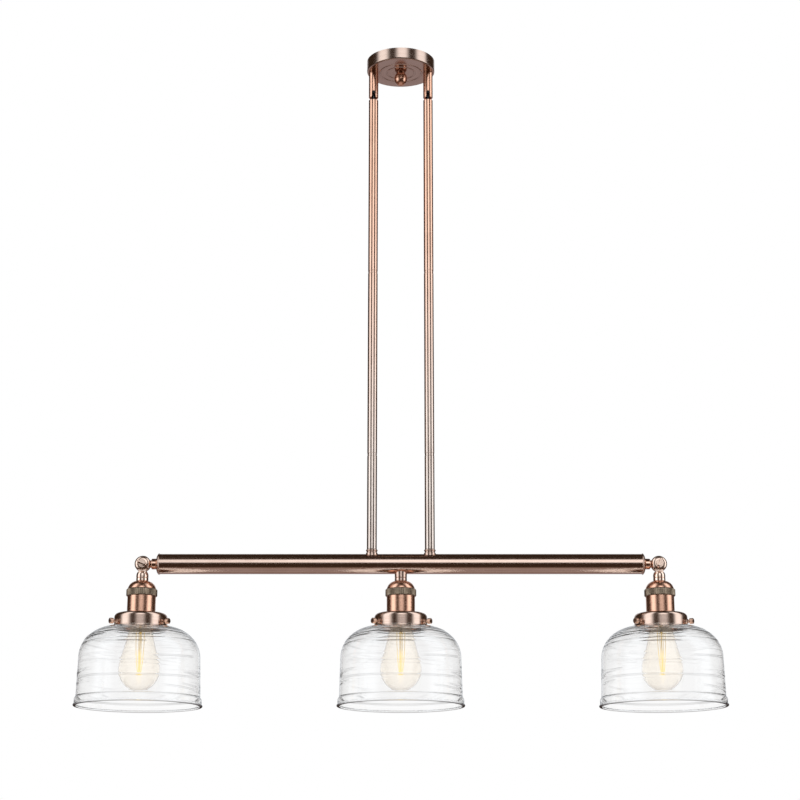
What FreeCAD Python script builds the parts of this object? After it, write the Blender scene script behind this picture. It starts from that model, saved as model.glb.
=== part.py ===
"""A linear island pendant: a round ceiling canopy, two hang-straight ball swivels, two rods screwed
together from tube lengths, a horizontal bar, and three sockets that hold bell shades of clear glass. The end
sockets hang from friction knuckles, each locked by a spade-headed clamp screw; the centre socket hangs
straight down.

Frame: millimetres, +Z up, the bar along X, -Y the front. The origin is the middle of the ceiling plane, on
top of the mounting crossbar. Heights are negative, because everything hangs below the ceiling.
"""

import FreeCAD, Part
import math
import os

Vec = FreeCAD.Vector
X_AXIS, Y_AXIS, Z_AXIS = Vec(1, 0, 0), Vec(0, 1, 0), Vec(0, 0, 1)

# ---- fits ----------------------------------------------------------------------------------------
thread_gap = 0.05            # radial gap of a screwed or pushed-in fit within one body
hole_gap = 0.15              # radial gap where a screw or nipple passes through a hole
running_gap = 0.2            # gap between two faces that turn past each other

# ---- ceiling canopy ------------------------------------------------------------------------------
canopy_radius = 57.15        # 4 1/2 in across
canopy_height = 20.0
canopy_wall = 1.2
canopy_corner = 2.5
inner_bead_radius = 23.5     # pressed rings on the underside
outer_bead_radius = 35.0
bead_width = 3.0
bead_height = 0.7

crossbar_length = 104.0
crossbar_width = 20.0
crossbar_thickness = 2.0
slot_pitch = 76.0            # between the middles of the two box-screw slots
slot_length = 24.0
slot_radius = 2.4
crossbar_boss_radius = 6.0
crossbar_boss_height = 3.5
ground_hole_offset = 15.0
ground_screw_radius = 2.0
ground_head_radius = 4.2
ground_head_height = 2.4
ground_slot_width = 1.0

stud_radius = 2.5
stud_in_finial = 16.0
finial_radius = 10.6
finial_height = 24.0
finial_neck_radius = 7.2
finial_neck_height = 1.6
finial_widest_drop = 10.1    # its widest place, below the canopy
finial_shoulder_bow = 1.15   # how far the outline bows out between the neck and the widest place
finial_side_bow = 2.7        # and from there to the tip
finial_tip_radius = 2.3
finial_tip_rise = 0.5
least_corner = 0.3           # smallest inside corner of a drawn sheet

# ---- hang-straight swivels -----------------------------------------------------------------------
rod_spacing = 92.0
housing_radius = 8.0
housing_length = 47.0
housing_corner = 2.0
ball_radius = 6.2
ball_gap = 0.1
bore_past_ball = 0.3         # radial gap of the housing's bore round the ball
ball_flat = 5.5              # flat top, above the ball's centre
ball_above_mouth = 10.0      # ball centre above the housing's lower end
ball_neck_radius = 2.6
seat_degrees = 41.0          # how far the ball's seat reaches below its equator
slot_side_gap = 0.4
corner_share = 0.9           # most of the mouth's wall that its rounded corner takes
forward_swing = 80.0         # degrees the ball's neck can swing through the slot
back_swing = 15.0            # degrees it can lean any other way, inside the mouth
ball_flange_height = 0.8
nipple_radius = 5.0
swivel_plug_length = 10.0
wire_radius = 1.7            # wire way through the ball
nipple_bore = 3.0
nut_flats = 14.0
nut_height = 4.0
nipple_past_nut = 1.5

# ---- rods ----------------------------------------------------------------------------------------
stem_radius = 7.9375         # 5/8 in tube
stem_wall = 1.2
long_stem = 304.8            # 12 in
short_stem = 152.4           # 6 in
stem_chamfer = 0.4
mouth_to_stem = 3.7          # from the housing's lower end to the first tube
coupler_ring_radius = 7.6
coupler_ring_height = 4.0
coupler_plug_length = 12.0

# ---- bar -----------------------------------------------------------------------------------------
bar_radius = 15.875          # 1 1/4 in tube
bar_wall = 1.2
bar_length = 762.0           # 30 in
collar_rise = 7.2            # from the bar's top up to the rods
collar_radius = 9.3
collar_waist = 8.1
collar_bead = 3.0            # height of the bead that meets the rod
collar_waist_height = 1.4
cap_length = 5.0
cap_radius = 16.8
cap_bead = 2.6
cap_face_radius = 9.4
cap_dome_bow = 0.7           # how far the cap's dome bows out between its bead and its face
cap_plug_length = 11.0

# ---- knuckles ------------------------------------------------------------------------------------
arm_collar_length = 8.1
arm_collar_radius = 8.5
arm_corner = 1.4
arm_tail_radius = 5.0
arm_throat = 1.25            # daylight between the arm's collar and the knuckle's rim
arm_neck_radius = 6.0
knuckle_radius = 12.65
knuckle_half = 8.4           # thickness of one half, at its middle
knuckle_rim = 3.6            # straight part of its rim
knuckle_boss_radius = 5.4
knuckle_dome_bow = 1.5       # how far the dome bows out between its rim and its boss
sweep_gap = 0.4              # around the half that turns
key_shank_radius = 2.4
key_shank_length = 8.0       # hole in the rear half; the screw ends 1 mm short of its foot
key_collar_radius = 4.6
key_collar_height = 2.4
blade_width = 18.0
blade_reach = 9.0
blade_shoulder = 2.4         # slope from the collar out to the blade's edges
blade_thickness = 2.2
blade_corner = 3.5
left_key_angle = -23.6       # the blades as they were left, from +X towards +Z
right_key_angle = 67.8

# ---- neck and socket -----------------------------------------------------------------------------
neck_radius = 9.6
neck_dome_drop = 18.8        # centre of the neck's rounded top, below the bar's axis
neck_length = 27.7           # from the bar's axis down to the socket cap
web_width = 12.0             # metal between the knuckle's front half and the neck
web_depth = 6.6
neck_ring_height = 5.2       # plain ring at the neck's foot, above a turned groove
neck_groove = 0.6
socket_nipple_length = 9.0   # how far it stands into the socket cap
cap_top_radius = 10.4
cap_dome_height = 12.5
cap_shoulder_radius = 17.6
cap_shoulder_drop = 3.8
socket_radius = 22.2
socket_wall = 1.2
ring_radius = 24.3
ring_height = 11.7
ring_chamfer = 1.4
ring_teeth = 60
ring_tooth_depth = 0.5
shell_length = 27.2          # bare shell between the knurled ring and the glass holder
shell_lap = 7.0              # shell above the ring's foot
insert_radius = 17.5
insert_top_wall = 6.0
insert_gap = 0.3
insert_flange = 2.4
insert_bevel = 1.5
insert_below_holder = 0.6    # mouth below the holder's top wall
contact_radius = 4.0
contact_travel = 2.0         # room over the bulb's base for the spring contact

# ---- glass holder and shade ----------------------------------------------------------------------
holder_radius = 41.5
holder_height = 20.1
holder_wall = 1.2
holder_shoulder = 6.5
boss_radius = 3.7
boss_height = 2.6
screw_radius = 2.0
screw_above_edge = 5.5
screw_head_radius = 4.5
screw_head_length = 6.5
screw_bevel = 0.8
screw_head_reach = 53.4      # end of a shade screw, from the lamp's axis
screw_turn = 3.0             # how far the three screws are turned from square to the front
tip_gap = 0.3

shade_lip_radius = 39.2
shade_lip_height = 6.0
shade_waist_radius = 36.4
shade_wall = 3.0
shade_flare_radius = 41.0    # where the bell's crown starts
shade_flare_gap = 0.7        # crown below the holder's edge
shade_radius = 94.4
crown_height = 48.2
shade_height = 123.7         # crown to rim
shade_foot_radius = 96.0
rim_height = 14.0
rim_step = 2.4               # how far the rim stands out under the wall
rim_step_drop = 4.4
rim_step_bow = 0.75
rim_bead = 1.5               # bead round the rim's foot
rim_bead_height = 3.2
rim_bead_middle = 1.3        # height of the bead's widest place
rim_round = 0.8
lip_round = 1.5

# ---- bulb ----------------------------------------------------------------------------------------
bulb_radius = 31.8
bulb_neck_radius = 14.6
bulb_length = 140.0
bulb_base_radius = 13.0
bulb_base_length = 26.0
bulb_wall = 0.8
bulb_in_socket = 21.0        # base above the insert's mouth
bulb_stations = ((0.232, 0.635), (0.432, 0.80), (0.757, 1.0), (0.891, 0.79))
#                              shares of the way from the base to the tip, and of the bulb's radius there
bulb_neck_share = 0.07       # where the neck's radius is reached
bulb_collar = 4.2            # lower part of the base, round the glass
bulb_collar_wall = 0.9
button_radius = 4.4
button_height = 1.2
cone_foot = 4.0
thread_start = 5.4
thread_pitch = 3.2
thread_turns = 5
thread_depth = 0.9
mount_radius = 6.6
mount_length = 26.0
cage_radius = 5.0
disc_rim = 0.8
disc_height = 0.9
support_radius = 0.9
filament_wires = 6
filament_wire_radius = 0.35
filament_length = 68.0

# ---- places worked out from the sizes ------------------------------------------------------------
canopy_under = -canopy_height
swivel_sides = {"left": -rod_spacing / 2, "right": rod_spacing / 2}
mouth_z = canopy_under - housing_length
ball_z = mouth_z + ball_above_mouth
stem_top_z = mouth_z - mouth_to_stem
upper_foot_z = stem_top_z - long_stem
middle_top_z = upper_foot_z - coupler_ring_height
middle_foot_z = middle_top_z - long_stem
lower_top_z = middle_foot_z - coupler_ring_height
lower_foot_z = lower_top_z - short_stem
bar_z = lower_foot_z - collar_rise - bar_radius
stem_bore = stem_radius - stem_wall
plug_radius = stem_bore - thread_gap
bar_bore = bar_radius - bar_wall
cap_face_x = bar_length / 2 + cap_length
collar_end_x = cap_face_x + arm_collar_length
knuckle_x = collar_end_x + arm_throat + knuckle_radius
lamp_places = {"left": -knuckle_x, "centre": 0.0, "right": knuckle_x}

socket_top_z = bar_z - neck_length
ring_top_z = socket_top_z - cap_dome_height
ring_foot_z = ring_top_z - ring_height
holder_top_z = ring_foot_z - shell_length
holder_foot_z = holder_top_z - holder_height
screw_z = holder_foot_z + screw_above_edge
crown_z = holder_foot_z - shade_flare_gap
rim_z = crown_z - shade_height
insert_mouth_z = holder_top_z - holder_wall - insert_below_holder
bulb_base_top_z = insert_mouth_z + bulb_in_socket
bulb_tip_z = bulb_base_top_z - bulb_length
shell_bore = socket_radius - socket_wall
housing_bore = ball_radius + bore_past_ball
nut_corner = nut_flats / math.sqrt(3)
bar_nut_seat = math.sqrt(bar_bore ** 2 - nut_corner ** 2)         # above the bar's axis
bulb_throat = bulb_base_radius - bulb_collar_wall - thread_gap
screw_angles = [120 * k - 60 + screw_turn for k in range(3)]     # from the front towards +X


# ---- building helpers ----------------------------------------------------------------------------
def outline(*steps):
    """Closed face in the XZ plane. A step is a corner (r, z), an arc's middle and end ((r, z), (r, z)), or a
    ready edge and its end (edge, (r, z))."""
    edges = []
    here = first = Vec(steps[0][0], 0, steps[0][1])
    for step in steps[1:] + (steps[0],):
        if isinstance(step[0], tuple):
            middle, end = (Vec(p[0], 0, p[1]) for p in step)
            edges.append(Part.Arc(here, middle, end).toShape())
        elif isinstance(step[0], Part.Shape):
            end = Vec(step[1][0], 0, step[1][1])
            edges.append(step[0])
        else:
            end = Vec(step[0], 0, step[1])
            if end.distanceToPoint(here) > 1e-7:
                edges.append(Part.makeLine(here, end))
        here = end
    if here.distanceToPoint(first) > 1e-7:
        edges.append(Part.makeLine(here, first))
    return Part.Face(Part.Wire(edges))


def turned(*steps):
    """The outline turned round the Z axis."""
    return outline(*steps).revolve(Vec(), Z_AXIS, 360)


def round_corner(r, z, radius, sign_r, sign_z):
    """A quarter arc that rounds the corner (r, z): its end on the upright side, then its middle and its other
    end. The signs point from the corner into the body."""
    centre = (r + sign_r * radius, z + sign_z * radius)
    start = (r, centre[1])
    middle = tuple(c - s * radius * math.sqrt(0.5) for c, s in zip(centre, (sign_r, sign_z)))
    return start, (middle, (centre[0], z))


def bowed(start, end, bow):
    """An arc step from start to end. Seen from start, it bows to the left of its chord, or by a negative bow
    to the right."""
    across, up = end[0] - start[0], end[1] - start[1]
    share = bow / math.hypot(across, up)
    middle = ((start[0] + end[0]) / 2 - share * up, (start[1] + end[1]) / 2 + share * across)
    return middle, end


def rod(radius, z_low, z_high, x=0.0, y=0.0):
    return Part.makeCylinder(radius, z_high - z_low, Vec(x, y, z_low))


def tube(radius, bore, z_low, z_high):
    return rod(radius, z_low, z_high).cut(rod(bore, z_low - 1, z_high + 1))


def block(x_low, x_high, y_low, y_high, z_low, z_high):
    return Part.makeBox(x_high - x_low, y_high - y_low, z_high - z_low, Vec(x_low, y_low, z_low))


def polar(radius, degrees, z=0.0):
    return Vec(radius * math.cos(math.radians(degrees)), radius * math.sin(math.radians(degrees)), z)


def prism(points, height):
    return Part.Face(Part.makePolygon(points + points[:1])).extrude(Vec(0, 0, height))


def hex_nut(screw, z_low):
    nut = prism([polar(nut_corner, 60 * k, z_low) for k in range(6)], nut_height)
    return nut.cut(rod(screw + thread_gap, z_low - 1, z_low + nut_height + 1))


def moved(shape, x=0.0, y=0.0, z=0.0):
    copy = shape.copy()
    copy.translate(Vec(x, y, z))
    return copy


def laid(shape, axis, degrees):
    copy = shape.copy()
    copy.rotate(Vec(), axis, degrees)
    return copy


def along_x(shape, x=0.0, z=0.0):
    """A shape built round Z, laid so that its +Z points along +X."""
    return moved(laid(shape, Y_AXIS, 90), x, 0, z)


def along_y(shape):
    """A shape built round Z, laid so that its +Z points to the front."""
    return laid(shape, X_AXIS, 90)


def joined(*shapes):
    whole = shapes[0]
    for shape in shapes[1:]:
        whole = whole.fuse(shape)
    return whole.removeSplitter()


def group(shapes):
    """Separate solids that share one node."""
    return Part.makeCompound([solid for shape in shapes for solid in shape.Solids])


# ---- ceiling canopy ------------------------------------------------------------------------------
def bead(radius, z, inward):
    """One pressed ring in the canopy's sheet: its start and its arc, running outwards or inwards."""
    side = bead_width / 2 if inward else -bead_width / 2
    return (radius + side, z), ((radius, z - bead_height), (radius - side, z))


def canopy_shell():
    inside = canopy_under + canopy_wall
    bore = stud_radius + hole_gap
    inner_corner = max(canopy_corner - canopy_wall, least_corner)
    outer_start, outer_arc = round_corner(canopy_radius, canopy_under, canopy_corner, -1, 1)
    inner_start, inner_arc = round_corner(canopy_radius - canopy_wall, inside, inner_corner, -1, 1)
    pan = turned(
        (canopy_radius, 0), outer_start, outer_arc,
        *bead(outer_bead_radius, canopy_under, True), *bead(inner_bead_radius, canopy_under, True),
        (bore, canopy_under), (bore, inside),
        *bead(inner_bead_radius, inside, False), *bead(outer_bead_radius, inside, False),
        inner_arc[1], (inner_arc[0], inner_start), (canopy_radius - canopy_wall, 0),
    )
    for x in swivel_sides.values():
        pan = pan.cut(rod(nipple_radius + hole_gap, canopy_under - 1, inside + 1, x))
    return pan


def stadium(length, radius, z_low, z_high, y=0.0):
    """Upright slot or strap shape with round ends, its length along Y."""
    half = length / 2 - radius
    middle = block(-radius, radius, y - half, y + half, z_low, z_high)
    ends = [rod(radius, z_low, z_high, 0, y + side * half) for side in (-1, 1)]
    return joined(middle, *ends)


def mounting_crossbar():
    low = -crossbar_thickness
    end_radius = crossbar_width / 2
    strap = stadium(crossbar_length, end_radius, low, 0)
    strap = strap.fuse(rod(crossbar_boss_radius, low - crossbar_boss_height, 0))
    for y in (-slot_pitch / 2, slot_pitch / 2):
        strap = strap.cut(stadium(slot_length, slot_radius, low - 1, 1, y))
    strap = strap.cut(rod(stud_radius + thread_gap, low - crossbar_boss_height - 1, 1))
    for y in (-ground_hole_offset, ground_hole_offset):
        strap = strap.cut(rod(ground_screw_radius + thread_gap, low - 1, 1, 0, y))
    return strap.removeSplitter()


def canopy_stud():
    return rod(stud_radius, canopy_under - stud_in_finial, 0)


def ground_screw():
    under = -crossbar_thickness
    head = rod(ground_head_radius, under - ground_head_height, under)
    driver = block(-ground_slot_width / 2, ground_slot_width / 2, -ground_head_radius, ground_head_radius,
                   under - ground_head_height - 1, under - ground_head_height / 2)
    shank = rod(ground_screw_radius, under, 0)
    return moved(joined(head.cut(driver), shank), y=-ground_hole_offset)


def canopy_finial():
    top = canopy_under
    neck = (finial_neck_radius, top - finial_neck_height)
    widest = (finial_radius, top - finial_widest_drop)
    tip = top - finial_height
    tip_edge = (finial_tip_radius, tip + finial_tip_rise)
    bore = stud_radius + thread_gap
    return turned(
        (bore, top), (finial_neck_radius, top), neck, bowed(neck, widest, finial_shoulder_bow),
        bowed(widest, tip_edge, finial_side_bow), (0, tip), (0, top - stud_in_finial - 1),
        (bore, top - stud_in_finial - 1),
    )


def canopy_locknuts():
    swivel_nut = hex_nut(nipple_radius, canopy_under + canopy_wall)
    stud_nut = hex_nut(stud_radius, -crossbar_thickness - crossbar_boss_height - nut_height)
    return group([moved(swivel_nut, x) for x in swivel_sides.values()] + [stud_nut])


# ---- hang-straight swivels -----------------------------------------------------------------------
def swivel_housing():
    """Tube with a ball seat in its lower end, and a slot in front that lets the ball's neck swing forward."""
    seat_radius = ball_radius + ball_gap
    seat_angle = math.radians(seat_degrees)
    seat_edge = seat_radius * math.cos(seat_angle)
    seat_low = ball_z - seat_radius * math.sin(seat_angle)
    seat_middle = (seat_radius * math.cos(seat_angle / 2), ball_z - seat_radius * math.sin(seat_angle / 2))
    lean = math.radians(back_swing)
    mouth_radius = ball_above_mouth * math.tan(lean) + ball_neck_radius / math.cos(lean) + slot_side_gap
    corner = min(housing_corner, corner_share * (housing_radius - mouth_radius))
    outer_start, outer_arc = round_corner(housing_radius, mouth_z, corner, -1, 1)
    body = turned(
        (housing_bore, canopy_under), (housing_radius, canopy_under), outer_start, outer_arc,
        (mouth_radius, mouth_z), (seat_edge, seat_low), (seat_middle, (seat_radius, ball_z)),
        (housing_bore, ball_z),
    )
    half_slot = ball_neck_radius + slot_side_gap
    slot_end = ball_z - housing_bore / math.tan(math.radians(forward_swing))
    slot = joined(
        block(-half_slot, half_slot, -2 * housing_radius, 0, mouth_z - 1, slot_end),
        moved(along_y(rod(half_slot, 0, 2 * housing_radius)), z=slot_end),
    )
    return body.cut(slot)


def swivel_nipple():
    """Hollow nipple: a plug that screws into the housing, and a shank that goes up through the canopy."""
    plug = housing_bore - thread_gap
    top = canopy_under + canopy_wall + nut_height + nipple_past_nut
    return turned(
        (nipple_bore, top), (nipple_radius, top), (nipple_radius, canopy_under),
        (plug, canopy_under), (plug, canopy_under - swivel_plug_length),
        (nipple_bore, canopy_under - swivel_plug_length),
    )


def swivel_ball():
    """Ball with a flat top, its neck, and the plug that screws into the rod."""
    ball = Part.makeSphere(ball_radius, Vec(0, 0, ball_z))
    ball = ball.common(rod(ball_radius, ball_z - ball_radius, ball_z + ball_flat))
    neck = rod(ball_neck_radius, stem_top_z, ball_z)
    plug = rod(plug_radius, stem_top_z - coupler_plug_length, stem_top_z + ball_flange_height)
    whole = joined(ball, neck, plug)
    return whole.cut(rod(wire_radius, stem_top_z - coupler_plug_length - 1, ball_z + ball_radius + 1))


# ---- rods ----------------------------------------------------------------------------------------
def stem(z_low, z_high):
    """One tube of a rod, with a small chamfer at each end so that the joints show as fine lines."""
    return turned(
        (stem_bore, z_low), (stem_radius - stem_chamfer, z_low), (stem_radius, z_low + stem_chamfer),
        (stem_radius, z_high - stem_chamfer), (stem_radius - stem_chamfer, z_high),
        (stem_bore, z_high),
    )


def stem_coupler(ring_low):
    """Hollow threaded coupler: a plug into each tube, and the ring that shows between them."""
    ring_high = ring_low + coupler_ring_height
    return turned(
        (nipple_bore, ring_low - coupler_plug_length), (plug_radius, ring_low - coupler_plug_length),
        (plug_radius, ring_low), (coupler_ring_radius, ring_low), (coupler_ring_radius, ring_high),
        (plug_radius, ring_high), (plug_radius, ring_high + coupler_plug_length),
        (nipple_bore, ring_high + coupler_plug_length),
    )


# ---- bar -----------------------------------------------------------------------------------------
def bar_tube():
    half = bar_length / 2
    pipe = along_x(tube(bar_radius, bar_bore, -half, half), z=bar_z)
    hole = nipple_radius + hole_gap
    for x in swivel_sides.values():
        pipe = pipe.cut(rod(hole, bar_z, bar_z + bar_radius + 1, x))
    return pipe.cut(rod(hole, bar_z - bar_radius - 1, bar_z))


def bar_solid():
    return along_x(rod(bar_radius, -bar_length / 2, bar_length / 2), z=bar_z)


def bar_collar():
    """Spool between a rod and the bar, its foot hollowed to sit on the tube."""
    top = lower_foot_z
    foot = bar_z + math.sqrt(bar_radius ** 2 - collar_radius ** 2)
    bead_foot = top - collar_bead
    waist_foot = bead_foot - collar_waist_height
    bore = nipple_radius + hole_gap
    spool = turned(
        (bore, top), (collar_waist, top),
        ((collar_radius, top - collar_bead / 2), (collar_waist, bead_foot)),
        (collar_waist, waist_foot), (collar_radius, waist_foot - collar_radius + collar_waist),
        (collar_radius, foot), (bore, foot),
    )
    return spool.cut(bar_solid())


def bar_nipple():
    """Hollow nipple: a plug up into the rod, and a shank down through the collar and the bar's wall."""
    foot = bar_z + bar_nut_seat - nut_height - nipple_past_nut
    return turned(
        (nipple_bore, foot), (nipple_radius, foot), (nipple_radius, lower_foot_z),
        (plug_radius, lower_foot_z), (plug_radius, lower_foot_z + coupler_plug_length),
        (nipple_bore, lower_foot_z + coupler_plug_length),
    )


def bar_locknuts():
    """Nuts inside the bar: one under each rod and one over the centre socket's nipple."""
    under_rod = hex_nut(nipple_radius, bar_z + bar_nut_seat - nut_height)
    over_lamp = hex_nut(nipple_radius, bar_z - bar_nut_seat)
    return group([moved(under_rod, x) for x in swivel_sides.values()] + [over_lamp])


def end_cap():
    """Domed button that closes the bar: built round Z, with its inner end at z = 0 on the tube's end face."""
    plug = bar_bore - thread_gap
    bore = arm_tail_radius + thread_gap
    bead_end = (bar_radius, cap_bead)
    face_edge = (cap_face_radius, cap_length)
    return turned(
        (bore, -cap_plug_length), (plug, -cap_plug_length), (plug, 0), (bar_radius, 0),
        ((cap_radius, cap_bead / 2), bead_end), bowed(bead_end, face_edge, -cap_dome_bow), (bore, cap_length),
    )


# ---- knuckles: built for the right-hand end, at x = 0 and z = 0 on the pivot ---------------------
def knuckle_disc(y_flat, side):
    """One half of a knuckle: flat towards the other half, domed outside. side is -1 in front and 1 behind."""
    rim_end = (knuckle_radius, knuckle_rim)
    boss_edge = (knuckle_boss_radius, knuckle_half)
    disc = turned(
        (0, 0), (knuckle_radius, 0), rim_end, bowed(rim_end, boss_edge, -knuckle_dome_bow), (0, knuckle_half),
    )
    return moved(laid(disc, X_AXIS, -90 * side), y=y_flat)


def knuckle_arm():
    """Rear half of the knuckle, on the collar and threaded tail that screw into the bar's end cap."""
    seat = -knuckle_radius - arm_throat - arm_collar_length
    tail_length = cap_length + cap_plug_length
    start, arc = round_corner(arm_collar_radius, 0, arm_corner, -1, 1)
    top_start, top_arc = round_corner(arm_collar_radius, arm_collar_length, arm_corner, -1, -1)
    collar = turned((0, 0), arc[1], (arc[0], start), top_start, top_arc, (0, arm_collar_length))
    tail = rod(arm_tail_radius, -tail_length, arm_collar_length / 2)
    neck = rod(arm_neck_radius, arm_collar_length / 2, arm_collar_length + arm_throat + knuckle_radius / 2)
    sweep = along_y(rod(knuckle_radius + sweep_gap, -running_gap / 2, knuckle_radius))
    stalk = along_x(joined(collar, tail, neck), seat).cut(sweep)
    arm = joined(stalk, knuckle_disc(running_gap / 2, 1))
    wire_way = along_x(rod(nipple_bore, -tail_length - 1, arm_collar_length + arm_throat), seat)
    screw_hole = along_y(rod(key_shank_radius + thread_gap, -key_shank_length, 1))
    return arm.cut(wire_way).cut(screw_hole)


def knuckle_key(angle):
    """Clamp screw with a flat spade head. The blade's line makes the given angle with +X."""
    face = running_gap / 2 + knuckle_half + running_gap
    foot = face + key_collar_height
    half = blade_width / 2
    right_start, right_arc = round_corner(half, foot + blade_reach, blade_corner, -1, -1)
    left_start, left_arc = round_corner(-half, foot + blade_reach, blade_corner, 1, -1)
    spade = outline(
        (-key_shank_radius, face), (key_shank_radius, face), (key_shank_radius, foot),
        (half, foot + blade_shoulder), right_start, right_arc, left_arc[1], (left_arc[0], left_start),
        (-half, foot + blade_shoulder), (-key_shank_radius, foot),
    ).extrude(Vec(0, blade_thickness, 0))
    key = joined(
        rod(key_shank_radius, 1 - key_shank_length, face), rod(key_collar_radius, face, foot),
        moved(spade, y=-blade_thickness / 2),
    )
    return laid(along_y(key), Y_AXIS, -angle)


def knuckle_neck():
    """Front half of the knuckle, with the round-topped neck that carries the socket."""
    foot = -neck_length
    dome_top = -neck_dome_drop + neck_radius
    shoulder = (neck_radius * math.sqrt(0.5), -neck_dome_drop + neck_radius * math.sqrt(0.5))
    dome = turned((0, dome_top), (shoulder, (neck_radius, -neck_dome_drop)), *neck_foot(foot), (0, foot))
    rear_sweep = along_y(rod(knuckle_radius + sweep_gap, -neck_radius - 1, running_gap / 2))
    web = block(-web_width / 2, web_width / 2, -web_depth, -running_gap / 2,
                -neck_dome_drop, -knuckle_radius / 2)
    neck = joined(dome.cut(rear_sweep), web, knuckle_disc(-running_gap / 2, -1))
    wire_way = rod(nipple_bore, foot - 1, -knuckle_radius)
    screw_hole = along_y(rod(key_shank_radius + thread_gap, 0, knuckle_half + 1))
    return joined(neck.cut(wire_way).cut(screw_hole), socket_nipple(foot))


def neck_foot(foot):
    """The neck's lower outline, with the turned groove that sets off its ring."""
    groove = foot + neck_ring_height
    return ((neck_radius, groove + neck_groove), (neck_radius - neck_groove, groove),
            (neck_radius, groove - neck_groove), (neck_radius, foot + neck_groove),
            (neck_radius - neck_groove, foot))


def socket_nipple(foot):
    """Nipple that stands down from the neck's foot into the socket cap."""
    return tube(nipple_radius, nipple_bore, foot - socket_nipple_length, foot + 1)


def centre_neck():
    """Straight neck seated under the bar, with a nipple up into it and one down into the socket."""
    foot = -neck_length
    top = -math.sqrt(bar_radius ** 2 - neck_radius ** 2)
    post = turned((0, top), (neck_radius, top), *neck_foot(foot), (0, foot))
    shank = rod(nipple_radius, foot, -bar_nut_seat + nut_height + nipple_past_nut)
    nipples = moved(joined(shank, socket_nipple(foot)), z=bar_z)
    whole = joined(moved(post, z=bar_z).cut(bar_solid()), nipples)
    return whole.cut(rod(nipple_bore, bar_z - 2 * neck_length, bar_z))


# ---- sockets: each built round x = 0 -------------------------------------------------------------
def socket_cap():
    top = socket_top_z
    skirt_foot = ring_foot_z + shell_lap
    inner = shell_bore
    bore = nipple_radius + hole_gap
    drop = cap_shoulder_drop
    return turned(
        (bore, top), (cap_top_radius, top),
        ((cap_shoulder_radius, top - drop), (socket_radius, top - cap_dome_height)),
        (socket_radius, skirt_foot), (inner, skirt_foot), (inner, top - cap_dome_height),
        ((cap_shoulder_radius - socket_wall, top - drop - socket_wall),
         (cap_top_radius - socket_wall, top - socket_wall)), (bore, top - socket_wall),
    )


def knurled_ring():
    """Knurled ring that locks the cap to the shell: straight teeth between two chamfers."""
    bore = socket_radius + thread_gap
    ring = turned(
        (bore, ring_top_z), (ring_radius - ring_chamfer, ring_top_z),
        (ring_radius, ring_top_z - ring_chamfer), (ring_radius, ring_foot_z + ring_chamfer),
        (ring_radius - ring_chamfer, ring_foot_z), (bore, ring_foot_z),
    )
    points = []
    for k in range(2 * ring_teeth):
        points.append(polar(ring_radius - k % 2 * ring_tooth_depth, 180 / ring_teeth * k, ring_foot_z))
    return ring.common(prism(points, ring_height))


def socket_shell():
    """Plain drawn shell, from inside the knurled ring down to the glass holder, with a turned-in foot."""
    top = ring_foot_z + shell_lap
    foot = holder_top_z
    start, arc = round_corner(socket_radius, foot, socket_wall, -1, 1)
    bore = insert_radius + insert_gap
    return turned(
        (shell_bore, top), (socket_radius, top), start, arc, (bore, foot), (bore, foot + socket_wall),
        (shell_bore, foot + socket_wall),
    )


def socket_insert():
    """Moulded body with a well for the bulb's base, a flange on the shell's foot, and a spring contact."""
    roof = bulb_base_top_z + contact_travel
    top = roof + insert_top_wall
    well = bulb_base_radius + insert_gap
    flange = shell_bore - insert_gap
    flange_low = holder_top_z + socket_wall
    flange_top = flange_low + insert_flange
    body = turned(
        (0, top), (insert_radius - insert_bevel, top), (insert_radius, top - insert_bevel),
        (insert_radius, flange_top), (flange, flange_top), (flange, flange_low), (insert_radius, flange_low),
        (insert_radius, insert_mouth_z), (well, insert_mouth_z), (well, roof), (0, roof),
    )
    return joined(body, rod(contact_radius, bulb_base_top_z, roof))


# ---- glass holder --------------------------------------------------------------------------------
def radial(shape, angle):
    """A shape built round Z, laid so that its +Z points outwards at the screws' height, at that angle."""
    return laid(moved(along_y(shape), z=screw_z), Z_AXIS, angle)


def glass_holder():
    """Spun cup that the shade's lip goes up into, with three threaded bosses."""
    top, foot = holder_top_z, holder_foot_z
    hole = insert_radius + insert_gap
    outer_start, outer_arc = round_corner(holder_radius, top, holder_shoulder, -1, -1)
    inner = holder_radius - holder_wall
    inner_start, inner_arc = round_corner(inner, top - holder_wall, holder_shoulder - holder_wall, -1, -1)
    cup = turned(
        (hole, top), outer_arc[1], (outer_arc[0], outer_start), (holder_radius, foot), (inner, foot),
        inner_start, inner_arc, (hole, top - holder_wall),
    )
    hollow = rod(inner, foot, top)
    for angle in screw_angles:
        boss = radial(rod(boss_radius, inner - holder_wall, holder_radius + boss_height), angle)
        cup = joined(cup, boss.cut(hollow))
    for angle in screw_angles:
        cup = cup.cut(radial(rod(screw_radius + thread_gap, 0, 2 * holder_radius), angle))
    return cup


def shade_screws():
    """Three thumb screws whose tips stand under the shade's lip."""
    tip = shade_waist_radius + tip_gap
    head = screw_head_reach - screw_head_length
    inner, outer = screw_head_radius - screw_bevel, screw_head_radius
    screw = turned(
        (0, tip), (screw_radius - screw_bevel, tip), (screw_radius, tip + screw_bevel), (screw_radius, head),
        (inner, head), (outer, head + screw_bevel), (outer, screw_head_reach - screw_bevel),
        (inner, screw_head_reach), (0, screw_head_reach),
    )
    return group([radial(screw, angle) for angle in screw_angles])


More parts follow.
